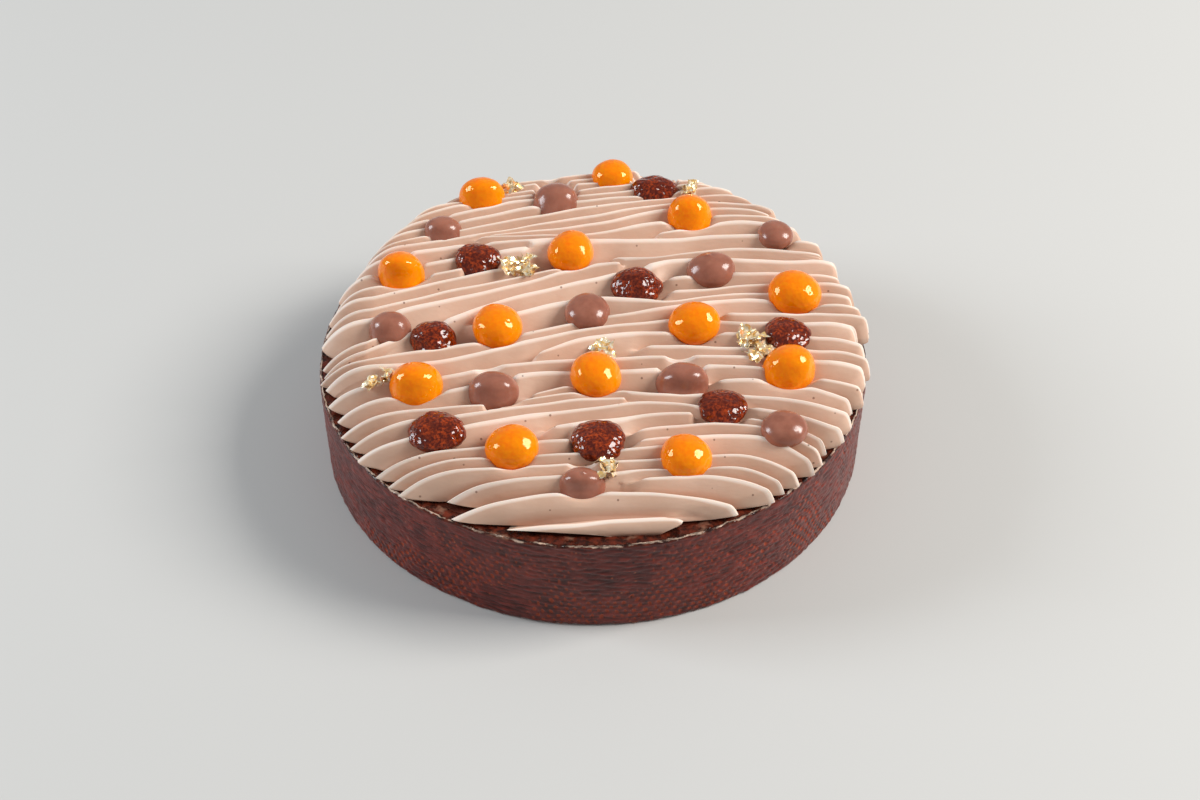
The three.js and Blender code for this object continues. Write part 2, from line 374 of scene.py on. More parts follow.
# %% [markdown]
# The foot and the top edge of the wall are rounded, and the foot is uneven. The rim rises and falls with
# its crumbs, less so near its outer edge. Marks and streaks are kept as attributes, because the finish
# colours them.

# %% Crust foot and rim
FOOT_ROUND = 1.4
FOOT_DEPTH = 0.8
FOOT_UNEVEN = 0.5
RIM_ROUND = 0.9
RIM_BAND = 1.2
EDGE_CRUMB = 0.35

foot = np.clip(1 - height / FOOT_ROUND, 0, 1)
top = np.clip(1 - (RIM_LEVEL - height) / RIM_ROUND, 0, 1)
push -= FOOT_ROUND * (1 - np.sqrt(1 - foot ** 2)) * FOOT_DEPTH + RIM_ROUND * (1 - np.sqrt(1 - top ** 2))
push += foot * FOOT_UNEVEN * rough(shape, 2.5, 6.0)
crumb = 0.42 * rough(shape, 2.6, 4.0) + 0.14 * rough(shape, 0.9, 7.0) - 0.15
edge = np.clip((TART_RADIUS - radius) / RIM_BAND, 0, 1)
height = np.where(rim, height + crumb * (EDGE_CRUMB + (1 - EDGE_CRUMB) * edge), height)
radius = np.where(wall, radius + push, radius)
shape = np.stack([radius * np.cos(angle), radius * np.sin(angle), height], axis=1)
set_points(crust, shape * MM)
store(crust, "dent", np.where(wall, spots, 0.0))
store(crust, "streak", np.where(wall, streak, 0.0))
bpy.ops.object.shade_smooth()
print(f"crust relief from {push.min():.2f} to {push.max():.2f} mm")

# %% [markdown]
# The baked dough is a dark red brown, mottled, with paler and redder grains. The rim is glossier, with dark
# and red brown crumbs and pale smears, and flour left a broken pale line along its outer edge. The line is
# found from the distance to the tart's axis. Noise at several sizes gives the mottling, and the attributes
# put colour into the same streaks and marks that the mesh has: painted shade in the grooves of the streaks,
# a painted sheen on their raised parts, and a redder tone in the marks. Small dark dots are painted shade in
# tiny pits.

# %% Dough of the crust
look = Finish("chocolate_crust")
mottle = look.noise(9.0, 6.0)
grain = look.noise(0.9, 3.0)
dough = look.blend(mottle, (0.35, 0.68), tone(78, 24, 20), tone(112, 41, 32))
dough = look.blend(grain, (0.56, 0.72), dough, tone(132, 54, 40), 0.35)
streaks = look.attribute("streak")
# Painted shade darkens the grooves of the streaks, and a painted sheen lightens their raised parts.
dough = look.blend(streaks, (-0.05, -0.45), dough, tone(52, 13, 9), 0.7)
dough = look.blend(streaks, (0.15, 0.5), dough, tone(140, 52, 40), 0.5)
dents = look.attribute("dent")
dough = look.blend(dents, (0.1, 0.5), dough, tone(166, 66, 32), 0.9)
specks = look.cells(4.6)
dough = look.blend(specks, (0.10, 0.06), dough, tone(158, 80, 48), 0.7)
# Painted shade: small dark dots stand for the shade inside tiny pits.
pits = look.cells(4.1)
dough = look.blend(pits, (0.12, 0.07), dough, tone(40, 22, 20), 0.8)
print("dough of", len(look.tree.nodes), "nodes")

# %% Rim and foot of the crust
RIM_FROM = 1.1
RIM_TO = 0.5
FLOUR_INSET = 0.55
FLOUR_WANDER = 0.4

level = look.axis("Z")
reach_x = look.math("POWER", look.axis("X"), 2.0)
reach_y = look.math("POWER", look.axis("Y"), 2.0)
reach = look.math("SQRT", look.math("ADD", reach_x, reach_y))
on_rim = look.range(level, (RIM_LEVEL - RIM_FROM) * MM, (RIM_LEVEL - RIM_TO) * MM)
crumbs = look.noise(2.4, 5.0)
rim_tone = look.blend(crumbs, (0.40, 0.68), tone(42, 15, 10), tone(108, 42, 24))
smear = look.noise(6.0, 4.0)
rim_tone = look.blend(smear, (0.58, 0.68), rim_tone, tone(164, 122, 100), 0.45)
dough = look.mix(on_rim, dough, rim_tone)
wander = look.noise(4.0, 4.0)
wander = look.range(wander, 0.3, 0.7, -FLOUR_WANDER * MM, FLOUR_WANDER * MM)
off_line = look.math("ADD", reach, wander)
off_line = look.math("SUBTRACT", off_line, (TART_RADIUS - FLOUR_INSET) * MM)
off_line = look.math("ABSOLUTE", off_line)
near_edge = look.range(off_line, 0.30 * MM, 0.14 * MM)
broken = look.range(look.noise(7.0, 6.0), 0.43, 0.51)
flour = look.math("MULTIPLY", look.math("MULTIPLY", near_edge, on_rim), broken)
dough = look.mix(flour, dough, tone(205, 178, 158))
at_foot = look.range(level, 1.3 * MM, 0.4 * MM)
baked = look.math("MULTIPLY", at_foot, look.range(crumbs, 0.55, 0.62))
dough = look.mix(baked, dough, tone(168, 84, 42))
look.set(Base_Color=dough, Roughness=look.range(on_rim, 0, 1, 0.3, 0.2),
         Specular_IOR_Level=0.34, Normal=look.bump(grain, 0.14))
finish_piece(crust, "crust_shell", look, "crust", "crust")
print(crust.name, triangles(crust), "triangles")

# %% [markdown]
# ## Filling
# Only a narrow, dark, shiny strip of the filling shows between the rim and the cream. It is a disc whose
# top is inset in rings, so that the visible strip can rise and fall a little.

# %% Filling
FILLING_RADIUS = TART_RADIUS - RIM_STEPS * RIM_STEP + 0.25
FILLING_TOP = RIM_LEVEL - 0.5
FILLING_COLUMNS = 360
FILLING_RINGS = 10
RING_STEP = 1.2

filling = disc(FILLING_COLUMNS, FILLING_RADIUS, CUP_DEPTH, FILLING_TOP - CUP_DEPTH / 2)
inset_top(filling, FILLING_RINGS, RING_STEP)
bpy.ops.object.mode_set(mode="OBJECT")
shape = points_of(filling) / MM
upper = shape[:, 2] > FILLING_TOP - NEAR
shape[:, 2] += np.where(upper, 0.35 * rough(shape, 7, 2.0) + 0.15 * rough(shape, 2.0, 3.0), 0)
set_points(filling, shape * MM)
bpy.ops.object.shade_smooth_by_angle(angle=math.radians(40))
look = Finish("dark_filling")
swirl = look.noise(4.0, 5.0)
dark = look.mix(swirl, tone(40, 16, 11), tone(88, 38, 25))
look.set(Base_Color=dark, Roughness=0.2, Normal=look.bump(look.noise(1.2), 0.12))
finish_piece(filling, "filling_layer", look, "filling", "filling")
print(filling.name, triangles(filling), "triangles")

# %% [markdown]
# ## Piped cream
# The cream was piped through a flat nozzle in close rows, so it stands in thin leaves that lean over each
# other. Each leaf has a broad front face, a thin crest, and a steep back down to a narrow valley. The
# leaves fan out, merge and stop, so a plain repeat would not do: each crest is a line of its own. It is
# given by how far back it lies at seven places from left to right, in mm, and a smooth curve joins them.
# The first line is the short petal in front.

# %% Crest lines
STATION_START = -75.0
STATION_STEP = 25.0
OUTER_SLOPE = 0.35
CREST_LINES = np.array((
    (-98.0, -92.0, -87.0, -85.5, -84.4, -84.6, -90.0),
    (-92.0, -84.5, -79.5, -78.0, -78.3, -81.5, -90.0),
    (-88.0, -80.5, -76.0, -74.5, -72.3, -73.8, -82.0),
    (-84.0, -76.4, -73.0, -70.8, -69.2, -69.0, -78.0),
    (-77.0, -70.4, -68.3, -66.8, -64.8, -64.2, -72.0),
    (-71.5, -66.4, -64.3, -62.5, -60.0, -59.5, -69.0),
    (-68.8, -64.3, -61.8, -59.6, -55.8, -54.8, -66.0),
    (-66.0, -62.0, -59.2, -56.5, -50.5, -51.5, -59.5),
    (-62.0, -58.5, -54.5, -48.6, -45.6, -49.6, -57.0),
    (-57.0, -55.0, -47.2, -43.0, -41.2, -47.7, -54.5),
    (-51.5, -47.3, -41.9, -38.6, -38.8, -42.3, -48.0),
    (-46.0, -42.6, -39.8, -35.0, -36.3, -36.9, -41.2),
    (-42.3, -39.6, -37.5, -30.8, -31.5, -29.0, -34.3),
    (-38.6, -36.3, -27.8, -26.0, -24.0, -23.9, -29.0),
    (-31.5, -28.6, -22.3, -19.3, -19.0, -18.4, -20.7),
    (-28.5, -26.0, -21.2, -14.8, -12.6, -12.9, -15.5),
    (-26.0, -23.3, -20.0, -9.2, -6.0, -7.7, -9.5),
    (-23.2, -20.4, -12.7, -4.2, -0.4, -1.8, -1.5),
    (-21.6, -17.4, -10.0, -2.0, 3.0, 3.6, 3.4),
    (-19.8, -14.6, -7.2, 0.3, 6.9, 11.0, 8.5),
    (-17.6, -4.0, 5.2, 12.5, 10.5, 15.0, 14.2),
    (-16.7, -2.2, 8.0, 16.0, 16.5, 18.9, 20.2),
    (-15.7, -0.6, 10.5, 19.5, 23.2, 25.0, 25.2),
    (-14.5, 1.0, 13.3, 23.7, 32.3, 34.0, 33.3),
    (-10.3, 6.0, 17.0, 26.5, 32.9, 35.0, 34.3),
    (1.0, 11.3, 20.7, 30.0, 33.4, 36.0, 35.4),
    (6.0, 16.7, 23.7, 31.3, 33.9, 37.0, 36.5),
    (13.0, 22.0, 29.0, 32.6, 34.4, 38.0, 37.4),
    (15.0, 24.0, 31.0, 33.8, 35.0, 39.3, 38.3),
    (17.5, 26.3, 33.5, 36.0, 37.6, 41.0, 40.5),
    (25.0, 33.0, 40.3, 40.5, 41.5, 43.5, 43.2),
    (33.0, 41.0, 44.3, 44.3, 45.4, 46.6, 47.0),
    (34.4, 42.0, 45.5, 46.0, 48.5, 55.2, 53.5),
    (35.7, 43.0, 46.9, 48.4, 55.0, 59.2, 57.0),
    (37.2, 44.3, 49.6, 53.7, 62.5, 63.4, 59.5),
    (38.9, 46.0, 52.4, 59.3, 66.0, 67.2, 62.0),
    (41.5, 49.0, 56.7, 63.7, 68.6, 70.6, 65.0),
    (46.0, 54.0, 62.8, 68.3, 72.0, 75.2, 69.0),
    (50.0, 59.5, 67.8, 72.0, 75.6, 79.0, 72.0),
    (54.0, 64.0, 71.5, 75.2, 78.8, 82.0, 75.0),
    (58.0, 67.5, 74.7, 78.7, 82.0, 85.0, 78.0),
    (62.0, 71.0, 77.3, 82.4, 84.8, 87.0, 81.0),
    (65.0, 73.8, 80.0, 85.5, 87.2, 89.0, 84.0),
))
RIDGES = len(CREST_LINES)


def crest_line(ridge, x):
    """The place of a crest at x: a curve through its stations, and straight on beyond the outer ones."""
    values = CREST_LINES[ridge]
    first = 2 * values[..., :1] - values[..., 1:2]
    last = 2 * values[..., -1:] - values[..., -2:-1]
    values = np.concatenate([first, values, last], -1)
    values = np.broadcast_to(values, x.shape + values.shape[-1:])
    way = (x - STATION_START) / STATION_STEP
    step = np.clip(np.floor(way), 0, CREST_LINES.shape[1] - 2).astype(int)
    share = np.clip(way - step, 0, 1)
    places = [(step + count)[..., None] for count in range(4)]
    before, start, end, after = (np.take_along_axis(values, place, -1)[..., 0] for place in places)
    slope = (end - before) / 2
    bend = before - 2.5 * start + 2 * end - after / 2
    turn = 1.5 * (start - end) + (after - before) / 2
    curve = start + share * (slope + share * (bend + share * turn))
    return curve + (way - step - share) * OUTER_SLOPE * (end - start)


print(RIDGES, "crest lines")

# %% [markdown]
# Not every leaf runs from side to side. A gap names a crest and the stretch in which it is missing. At the
# start of a gap the leaf ends bluntly, where the nozzle was lifted. At the end of a gap it rises slowly out
# of its neighbour. Only the petal in front fades out over a longer way.

# %% Gaps in the crests
FAR = 200.0
PETAL_END = 27.5
GAPS = (
    (0, PETAL_END, FAR), (2, -FAR, 9.0), (5, 28.0, FAR), (6, -FAR, 8.0), (7, -7.5, 8.0), (8, -FAR, -19.0),
    (8, 31.0, FAR), (9, 36.0, 42.0), (10, 10.0, 44.0), (11, -35.0, -29.0), (12, -FAR, -26.0),
    (12, 2.0, 34.0), (15, -FAR, 11.0), (16, -FAR, -25.0), (18, -FAR, 38.0), (20, -FAR, -44.0),
    (21, -FAR, 20.0), (22, -FAR, 20.0), (24, -70.0, FAR), (25, 8.7, FAR), (26, -12.0, FAR),
    (27, -27.0, FAR), (28, -FAR, 0.0), (29, -46.0, FAR), (30, -24.0, 64.0), (31, 66.0, FAR),
    (32, -FAR, 16.0), (33, -FAR, -48.0), (34, -FAR, -44.0),
)
BLUNT_END = 2.2
PETAL_FADE = 9.0
SLOW_START = 9.0


def smooth_share(value, low, high):
    """A soft step from 0 at low to 1 at high."""
    share = np.clip((value - low) / (high - low), 0, 1)
    return share * share * (3 - 2 * share)


def presence(x):
    """For every crest, 1 where it stands and 0 in its gaps."""
    stands = np.ones((RIDGES,) + x.shape)
    for ridge, start, end in GAPS:
        blunt = PETAL_FADE if ridge == 0 else BLUNT_END
        missing = smooth_share(x, start, start + blunt) * (1 - smooth_share(x, end, end + SLOW_START))
        stands[ridge] *= 1 - missing
    return stands


print(len(GAPS), "gaps")

# %% [markdown]
# Each step from one crest to the next is cut into rows, with close rows at the crest to keep it thin and
# crisp. The columns of the table are the two crests that the row lies between, its share of the way, and a
# shift for the rows in front of the first crest and behind the last one. LEAF pairs each share of the way
# with a share of the crest's height. FRONT and BACK do the same with the distance in mm from the first and
# from the last crest. A plain square grid would cut across the crests and make them jagged, so the rows
# follow them.

# %% Rows of the grid
LEAF = ((0.0, 1.0), (0.03, 0.97), (0.08, 0.85), (0.15, 0.60), (0.22, 0.28), (0.30, 0.0),
        (0.38, 0.16), (0.52, 0.38), (0.68, 0.62), (0.84, 0.835), (0.965, 0.98))
FRONT = ((0.0, 1.0), (0.3, 0.99), (0.9, 0.92), (1.6, 0.74), (2.2, 0.5), (2.5, 0.25), (2.6, 0.0))
BACK = ((0.0, 1.0), (0.3, 0.97), (1.0, 0.82), (2.0, 0.55), (3.0, 0.25), (3.6, 0.0))
VALLEY_PART = 0.30
COLUMNS = 176

rows = [(0, 0, 0.0, -ahead) for ahead, up in reversed(FRONT[1:])]
for ridge in range(RIDGES - 1):
    rows += [(ridge, ridge + 1, place, 0.0) for place, up in LEAF]
rows += [(RIDGES - 1, RIDGES - 1, 0.0, behind) for behind, up in BACK]
rows = np.array(rows)
near_ridge = rows[:, 0].astype(int)
far_ridge = rows[:, 1].astype(int)
part = rows[:, 2:3]
shift = rows[:, 3:4]


def row_line(x):
    """How far back each row lies at x."""
    near = crest_line(near_ridge[:, None], x)
    return near + (crest_line(far_ridge[:, None], x) - near) * part + shift


print(len(rows), "rows of", COLUMNS, "points")

# %% [markdown]
# The height between two crests that stand follows the profile of one leaf, however many missing crests lie
# between them. The profile is 1 at a crest and 0 in the valley, and a narrow leaf has a shallow valley.

# %% Profile of the leaves
CREST_HEIGHT = 12.5
BACK_RISE = 1.2
BACK_CREST = 85.5
FRONT_EDGE = -92.0
FRONT_RISE = 10.0
HEIGHT_JITTER = 0.5
PETAL_DROP = 1.8
VALLEY_SHARE = 0.48
FULL_PITCH = 6.0
LEAST_PITCH = 0.01
PITCH_LIMITS = (0.12, 1.1)
OWN_MARGIN = 0.02
TURN_PART = (0.1, 0.6)

uneven = random.Random(11)
extra = np.array([uneven.uniform(-HEIGHT_JITTER, HEIGHT_JITTER) for ridge in range(RIDGES)])
extra[0] -= PETAL_DROP


def crest_height(y):
    place = np.minimum(y, BACK_CREST)
    full = CREST_HEIGHT + BACK_RISE * place / TART_RADIUS
    return full * (1 - np.exp((FRONT_EDGE - place) / FRONT_RISE))


def interpolate(value, table):
    return np.interp(value, [place for place, up in table], [up for place, up in table])


def leaf_profile(x, y, stands):
    """Where only the marked crests stand: each point's own crest, its share of it, its height, and the
    crests in front of it and behind it."""
    order = np.arange(RIDGES)[:, None, None]
    ahead = np.maximum.accumulate(np.where(stands, order, -1), axis=0)
    behind = np.minimum.accumulate(np.where(stands, order, RIDGES)[::-1], axis=0)[::-1]
    count = np.arange(len(rows))
    front = np.where(shift < 0, -1, ahead[near_ridge, count])
    back = np.where(shift > 0, RIDGES, behind[far_ridge, count])
    front_y = crest_line(np.maximum(front, 0), x)
    back_y = crest_line(np.minimum(back, RIDGES - 1), x)
    pitch = np.maximum(back_y - front_y, LEAST_PITCH)
    share = np.clip((y - front_y) / pitch, 0, 1)
    up = interpolate(share, LEAF + ((1.0, 1.0),))
    own = np.where(share < VALLEY_PART + OWN_MARGIN, front, back)
    turn = smooth_share(share, *TURN_PART)
    depth = (1 - VALLEY_SHARE) * np.clip(pitch / FULL_PITCH, *PITCH_LIMITS)
    open_front = front < 0
    open_back = back >= RIDGES
    front_up = interpolate(back_y - y, FRONT)
    back_up = interpolate(y - front_y, BACK)
    up = np.where(open_front, front_up, np.where(open_back, back_up, up))
    own = np.where(open_front, back, np.where(open_back, front, own))
    turn = np.where(open_front, 1.0, np.where(open_back, 0.0, turn))
    depth = np.where(open_front | open_back, 1.0, depth)
    own, front, back = (np.clip(ridge, 0, RIDGES - 1) for ridge in (own, front, back))
    front_top = crest_height(front_y) + extra[front]
    back_top = crest_height(back_y) + extra[back]
    rise = (front_top + (back_top - front_top) * turn) * (1 - depth * (1 - up))
    return own, up, rise, front, back


print(f"crests rise {crest_height(0.0):.1f} mm in the middle")

# %% [markdown]
# A row ends where it meets its own reach from the tart's axis. Every leaf has a reach of its own at each
# side, a little uneven, and the tips that stand out in the photograph have theirs set.

# %% Reach of the tips
TIP_REACH = 91.6
TIP_JITTER = 0.9
FINGER_JITTER = 1.4
LEFT_TIPS = ((1, 93.0), (3, 87.8), (4, 94.3), (5, 93.2), (7, 93.0), (9, 93.6), (10, 92.3))
RIGHT_TIPS = ((2, 93.6), (3, 92.4), (4, 93.6), (6, 93.6), (7, 93.2), (9, 91.6), (10, 93.2),
              (11, 93.6), (12, 91.0), (13, 93.2), (14, 92.2), (15, 93.2), (16, 92.0), (17, 89.6),
              (18, 94.0), (19, 92.8), (20, 90.6), (21, 93.2), (22, 90.4), (23, 92.6))

left_jitter = [uneven.uniform(-TIP_JITTER, TIP_JITTER) for ridge in range(RIDGES)]
right_jitter = [uneven.uniform(-FINGER_JITTER, FINGER_JITTER) for ridge in range(RIDGES)]
left_reach = TIP_REACH + np.array(left_jitter)
right_reach = TIP_REACH + np.array(right_jitter)
for own_tips, reaches in ((LEFT_TIPS, left_reach), (RIGHT_TIPS, right_reach)):
    for ridge, reach in own_tips:
        reaches[ridge] = reach
print(len(LEFT_TIPS), "left tips and", len(RIGHT_TIPS), "right tips set")

# %% [markdown]
# The end of a row is found by halving, from the row's innermost point outwards. The left ends are points,
# and between two of them the border goes in, which leaves the notches. The right ends are blunt fingers.
# The reach depends on the share of the crest at the end, so a first try of the ends gives that share.

# %% Ends of the rows
SAMPLES = np.linspace(-90.0, 90.0, 181)
OUTSIDE = 100.0
HALVINGS = 40
LEAST_RUN = 0.5
LEFT_NOTCH = 9.0
RIGHT_NOTCH = 7.5
EDGE_NOTCH = 0.3
LEFT_LIMIT = 22.0
RIGHT_LIMIT = 13.0
RAGGED = 0.6
KNOT_ROWS = 3
LEFT_POWER = 1.5
RIGHT_POWER = 1.3
FINGER_FULL = 0.65
FINGERS_BEHIND = (-62.0, -25.0)
FELT_TIMES = 2.5
FELT_LEAST = 22.0
FELT_MOST = 0.9

samples = np.broadcast_to(SAMPLES, (len(rows), len(SAMPLES)))
out = np.hypot(samples, row_line(samples))
inmost = np.take_along_axis(samples, out.argmin(axis=1)[:, None], axis=1)
least_reach = out.min(axis=1)[:, None] + LEAST_RUN


def row_end(side, reach):
    reach = np.maximum(reach, least_reach)
    near = inmost
    far = np.full((len(rows), 1), side * OUTSIDE)
    for halving in range(HALVINGS):
        middle = (near + far) / 2
        inside = np.hypot(middle, row_line(middle)) < reach
        near = np.where(inside, middle, near)
        far = np.where(inside, far, middle)
    return near


def fullness(side, up, y):
    """How full an end is: pointed on the left, and on the right blunt behind the leaves in front."""
    if side < 0:
        return 1 - (1 - up) ** LEFT_POWER
    pointed = 1 - (1 - up) ** RIGHT_POWER
    finger = smooth_share(up, 0.0, FINGER_FULL)
    return pointed + (finger - pointed) * smooth_share(y, *FINGERS_BEHIND)


def notched_end(side, own_reach, notch, limit):
    first = row_end(side, np.full((len(rows), 1), TIP_REACH))
    first_y = row_line(first)
    own, up = leaf_profile(first, first_y, presence(first) > 0.5)[:2]
    depth = notch * np.where(shift != 0, EDGE_NOTCH, 1.0)
    knots = [uneven.uniform(-RAGGED, RAGGED) for knot in range(len(rows) // KNOT_ROWS + 2)]
    ragged = np.interp(np.arange(len(rows)) / KNOT_ROWS, np.arange(len(knots)), knots)[:, None]
    last = row_end(side, own_reach[own] + ragged - depth * (1 - fullness(side, up, first_y)))
    return first, np.clip(last, first - limit, first + limit)


def felt(share, end_shift, width):
    """An end's shift is felt fully at the end and fades away along the row."""
    run = np.clip(FELT_TIMES * np.abs(end_shift), FELT_LEAST, FELT_MOST * width)
    return end_shift * (1 - np.clip(share * width / run, 0, 1)) ** 2


even_left, left = notched_end(-1, left_reach, LEFT_NOTCH, LEFT_LIMIT)
even_right, right = notched_end(1, right_reach, RIGHT_NOTCH, RIGHT_LIMIT)
print(f"rows end from {left.min():.1f} to {right.max():.1f} mm")

# %% [markdown]
# Every row gets the same number of points, a little closer at its ends, where the shape changes most. The
# shift of an end fades away along the row, so that the points of neighbouring rows stay side by side. The
# petal in front gets a rounded end of its own.

# %% Points along the rows
PETAL_POINT = 15.0
PETAL_POWER = 1.5
PETAL_ROUND = 8.0
END_CROWDING = 0.35

ahead = np.clip(-shift / FRONT[-1][0], 0, 1)
left = left + PETAL_POINT * ahead ** PETAL_POWER
petal = (near_ridge[:, None] == 0) & (part <= VALLEY_PART)
petal_right = PETAL_END - PETAL_ROUND * (1 - np.sqrt(1 - ahead ** 2))
right = np.where(petal, np.minimum(right, petal_right), right)
spacing = np.linspace(0, 1, COLUMNS)[None, :]
spacing = END_CROWDING * (1 - np.cos(np.pi * spacing)) / 2 + (1 - END_CROWDING) * spacing
width = even_right - even_left
left_shift = felt(spacing, left - even_left, width)
right_shift = felt(1 - spacing, right - even_right, width)
x = even_left + width * spacing + left_shift + right_shift
y = row_line(x)
print(f"points lie from {x.min():.1f} to {x.max():.1f} mm")

# %% [markdown]
# Each point takes its height from the leaf profile. Where a crest starts or stops, a profile with it and
# one without it are blended. Towards the ends of a row the height falls, on the left slowly to a point, and
# on the right with a droop and then bluntly. Slow waves keep the crests from being quite straight. A pair
# of values is for the front and the back of the tart.

# %% Heights of the cream
BACK_PART = (-60.0, 20.0)
LEFT_TAPER = (30.0, 18.0)
LEFT_CURVE = 3.2
RIGHT_DROOP = (0.5, 0.25)
DROOP_RUN = (20.0, 10.0)
DROOP_CURVE = 2.0
RIGHT_TAPER = 3.0
RIGHT_CURVE = 2.6
LEAST_HALF = 1.0
PETAL_LIP = 0.6
TIP_LIFT = 1.8
UNDER_RIM = 0.9
UNDER_RISE = 1.5
HEIGHT_WAVES = ((0.30, 0.09, 1.3), (0.12, 0.23, -2.9))
SIDE_WAVES = ((0.30, 0.11, 2.1), (0.10, 0.37, 1.0))


def taper(run, length, power):
    return 1 - (1 - np.clip(run / length, 0, 1)) ** power


def front_to_back(pair, share):
    return pair[0] + (pair[1] - pair[0]) * share


def waves(table):
    """The sum of sine waves, each given by its height, its rate along x and its turn from crest to crest."""
    return sum(size * np.sin(rate * x + turn * own_ridge) for size, rate, turn in table)


stands = presence(x)
own_ridge, up, rise, front, back = leaf_profile(x, y, stands > 0)
low_up, low_rise = leaf_profile(x, y, stands >= 1)[1:3]
front_stands, back_stands = (np.take_along_axis(stands, ridge[None], 0)[0] for ridge in (front, back))
weight = np.minimum(front_stands, back_stands)
up = low_up + (up - low_up) * weight
rise = low_rise + (rise - low_rise) * weight
half = np.maximum((right - left) / 2, LEAST_HALF)
back_share = smooth_share(y, *BACK_PART)
left_end = taper(x - left, np.minimum(front_to_back(LEFT_TAPER, back_share), half), LEFT_CURVE)
droop = 1 - taper(right - x, np.minimum(front_to_back(DROOP_RUN, back_share), half), DROOP_CURVE)
kept = 1 - front_to_back(RIGHT_DROOP, back_share) * droop * (own_ridge > 0)
right_end = taper(right - x, RIGHT_TAPER, RIGHT_CURVE) * kept
right_end = np.where(petal, PETAL_LIP + (1 - PETAL_LIP) * right_end, right_end)
ending = np.minimum(left_end, right_end)
z = rise * ending + up * (TIP_LIFT * (1 - ending) + waves(HEIGHT_WAVES) * ending)
z = z - UNDER_RIM * (1 - smooth_share(rise, 0.0, UNDER_RISE))
y = y + waves(SIDE_WAVES) * up * ending
print(f"cream rises {z.max():.1f} mm over the rim")

# %% [markdown]
# Where a drop sits, the cream is pressed down. A boolean cut would leave a hard edge round each drop, so
# the heights are lowered softly instead. The surface is kept just inside the drop's lower half. In front of
# the drop it may only rise slowly, so that the leaves dip to it. At its sides and behind it the leaves run
# right up to it. Some drops sit a little behind a leaf, which presses their foot back and down. The table
# says for each drop, in mm, how far its hollow lies behind it, and the shift of its foot back and up, where
# a minus means down.

# %% Hollows under the drops
DROP_BEDS = {
    "fruit_gel": (
        (2.6, 1.5, -1.6), (1.8, 0, 0), (0.8, 0.8, -1.9), (1.2, 2.6, -2.7), (-1.5, 0, 0),
        (-1.5, 0, 0), (-1.0, 0, 0), (-1.5, 0, 0), (0.8, 1.4, -1.3), (-1.5, 0, 0),
        (0.0, 1.2, -1.7), (-1.5, 0, 0), (0.4, 0, 0)),
    "milk_chocolate": (
        (4.6, 1.4, -1.9), (2.2, 1.6, -1.2), (1.0, 0, 0), (0.8, 0.6, -0.5), (1.8, 1.5, -1.2),
        (1.0, 0, 0), (2.8, 2.2, -1.9), (3.6, 2.6, -2.3), (1.0, 0, 0), (1.0, 2.6, -2.2)),
    "praline": (
        (5.0, 2.4, -2.6), (2.8, 1.8, -1.4), (3.6, 2.6, -2.2), (2.6, 2.4, -2.5), (0.8, 0, 0),
        (2.2, 1.4, -1.2), (0.8, 0, 0), (0.8, 0, 0)),
}
BED_DEPTH = 0.9
BED_EDGE = 0.97
BED_SLOPE = 0.9
BED_REACH = 8.0
BESIDE_PART = (-0.6, 0.1)
STEEPER = 1.8
BESIDE_USUAL = 4.0
BESIDE_LIFT = {"praline_01": 1.2, "milk_chocolate_01": 1.5}
BED_SOFTNESS = 0.45

drops = {}
for kind, beds in DROP_BEDS.items():
    for count, bed in enumerate(beds, 1):
        drops[f"{kind}_{count:02d}"] = bed


def drop_size(node):
    """The middle, the half size and the shift of the foot of a drop, in mm."""
    low, high = (np.array(corner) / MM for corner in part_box(node))
    foot = np.array((0.0,) + drops[node][1:])
    return (low + high) / 2, (high - low) / 2, foot


def soft_least(first, second, softness):
    """The lower of two heights, with a rounded change from one to the other."""
    least = np.minimum(first, second)
    return least - softness * np.log1p(np.exp(-np.abs(first - second) / softness))


for node, bed_shift in drops.items():
    middle, half_size, foot = drop_size(node)
    middle = middle + foot
    apart = np.hypot(x - middle[0], y - middle[1] - bed_shift[0])
    inner = half_size[0] - BED_DEPTH
    share = np.clip(apart / inner, 0, BED_EDGE)
    bed = middle[2] - RIM_LEVEL - (half_size[2] - BED_DEPTH) * np.sqrt(1 - share ** 2)
    beside = smooth_share(y - middle[1], *(place * half_size[1] for place in BESIDE_PART))
    bed = bed + (BED_SLOPE + STEEPER * beside) * np.maximum(apart - BED_EDGE * inner, 0)
    bed = bed + BESIDE_LIFT.get(node, BESIDE_USUAL) * beside
    z = np.where(apart < half_size[0] + BED_REACH, soft_least(z, bed, BED_SOFTNESS), z)
print("hollows for", len(drops), "drops")

# %% [markdown]
# One operator makes the grid. Each of its points finds its row and column from where the operator laid it.

# %% Cream mesh
start_clean()
bpy.ops.mesh.primitive_grid_add(x_subdivisions=COLUMNS - 1, y_subdivisions=len(rows) - 1, size=2)
cream = bpy.context.object
laid = points_of(cream)
column = np.rint((laid[:, 0] + 1) / 2 * (COLUMNS - 1)).astype(int)
row = np.rint((laid[:, 1] + 1) / 2 * (len(rows) - 1)).astype(int)
shape = np.stack([x[row, column], y[row, column], z[row, column] + RIM_LEVEL], axis=1)
set_points(cream, shape * MM)
store(cream, "crest", up[row, column])
print("cream top", triangles(cream), "triangles")

# %% [markdown]
# The grid is open at its border. The border is extruded twice, first a little down and in, for the
# thickness of the lifted tips, then further in, down to the filling, and the last loop is filled. A step
# gives its way in, the share that it keeps of the height over the rim, and how far it then goes down.

# %% Underside of the cream
LIP_STEPS = ((0.8, 0.45, 0.0), (5.0, 0.0, 1.4))


def border_edges(piece):
    """Flags for the edges that belong to one face only."""
    use = np.zeros(len(piece.data.edges), dtype=int)
    for face in piece.data.polygons:
        for key in face.loop_indices:
            use[piece.data.loops[key].edge_index] += 1
    return use == 1


